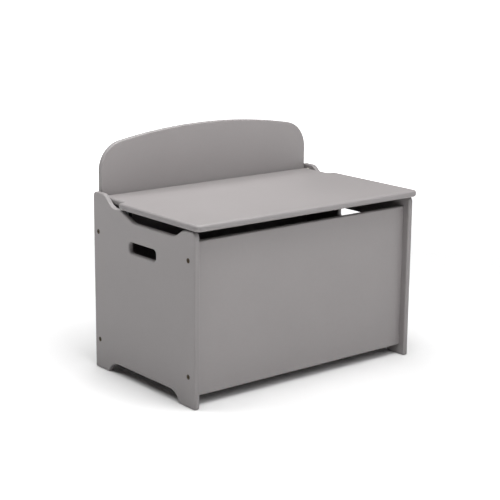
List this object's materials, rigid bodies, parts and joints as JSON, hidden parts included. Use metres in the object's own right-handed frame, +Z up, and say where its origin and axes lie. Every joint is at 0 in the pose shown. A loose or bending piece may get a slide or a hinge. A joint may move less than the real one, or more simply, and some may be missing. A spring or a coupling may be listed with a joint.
{
  "type": "toy box",
  "caption": "Low box with a lift-up bench lid, arched backrest, hand slots and scooped sides, and folding stays that hold the lid.",
  "frame": {"origin": "on the floor under the middle of the object's outer box", "axes": "+X along the length to the right as seen from the front, +Y to the rear, +Z up"},
  "size_m": [0.5968, 0.3682, 0.5064],
  "materials": {
    "grey_painted_board": "satin",
    "beech_dowel": "matte",
    "bronzed_steel": "satin",
    "zinc_steel": "satin",
    "black_steel": "satin",
    "nylon": "satin",
    "rubber": "matte"
  },
  "bodies": {
    "box": {"bottom_panel": "grey_painted_board", "front_panel": "grey_painted_board", "back_panel": "grey_painted_board", "backrest": "grey_painted_board", "backrest_screws": "bronzed_steel", "panel_bolts": "bronzed_steel", "barrel_nuts": "zinc_steel", "locating_dowels": "beech_dowel", "stay_plate_screws": "zinc_steel", "side_panel_left": "grey_painted_board", "lid_pivot_bush_left": "nylon", "lid_bumper_left": "rubber", "stay_plate_left": "black_steel", "stay_plate_washer_left": "nylon", "stay_plate_rivet_left": "zinc_steel", "side_panel_right": "grey_painted_board", "lid_pivot_bush_right": "nylon", "lid_bumper_right": "rubber", "stay_plate_right": "black_steel", "stay_plate_washer_right": "nylon", "stay_plate_rivet_right": "zinc_steel"},
    "lid": {"lid": "grey_painted_board", "stay_bracket_screws": "zinc_steel", "lid_pivot_pin_left": "zinc_steel", "stay_bracket_left": "black_steel", "stay_bracket_washer_left": "nylon", "stay_bracket_rivet_left": "zinc_steel", "lid_pivot_pin_right": "zinc_steel", "stay_bracket_right": "black_steel", "stay_bracket_washer_right": "nylon", "stay_bracket_rivet_right": "zinc_steel"},
    "lower_link_left": {"stay_lower_link_left": "black_steel", "stay_elbow_washer_left": "nylon", "stay_elbow_rivet_left": "zinc_steel"},
    "upper_link_left": {"stay_upper_link_left": "black_steel"},
    "lower_link_right": {"stay_lower_link_right": "black_steel", "stay_elbow_washer_right": "nylon", "stay_elbow_rivet_right": "zinc_steel"},
    "upper_link_right": {"stay_upper_link_right": "black_steel"}
  },
  "joints": [
    {"name": "lid_hinge", "type": "hinge", "parent": "box", "child": "lid", "pos_m": [0, 0.16065, 0.36765], "axis": [-1, 0, 0], "range_deg": [0, 90]},
    {"name": "stay_lower_hinge_left", "type": "hinge", "parent": "box", "child": "lower_link_left", "pos_m": [-0.27995, 0.14665, 0.31265], "axis": [-1, 0, 0], "range_deg": [0, 90]},
    {"name": "stay_upper_hinge_left", "type": "hinge", "parent": "lid", "child": "upper_link_left", "pos_m": [-0.27725, 0.08265, 0.35065], "axis": [-1, 0, 0], "range_deg": [-90, 0]},
    {"name": "stay_lower_hinge_right", "type": "hinge", "parent": "box", "child": "lower_link_right", "pos_m": [0.27995, 0.14665, 0.31265], "axis": [-1, 0, 0], "range_deg": [0, 90]},
    {"name": "stay_upper_hinge_right", "type": "hinge", "parent": "lid", "child": "upper_link_right", "pos_m": [0.27725, 0.08265, 0.35065], "axis": [-1, 0, 0], "range_deg": [-90, 0]}
  ],
  "couplings": [
    {"joint": "stay_lower_hinge_left", "follows": "lid_hinge", "ratio": 1},
    {"joint": "stay_upper_hinge_left", "follows": "lid_hinge", "ratio": -1},
    {"joint": "stay_lower_hinge_right", "follows": "lid_hinge", "ratio": 1},
    {"joint": "stay_upper_hinge_right", "follows": "lid_hinge", "ratio": -1}
  ]
}
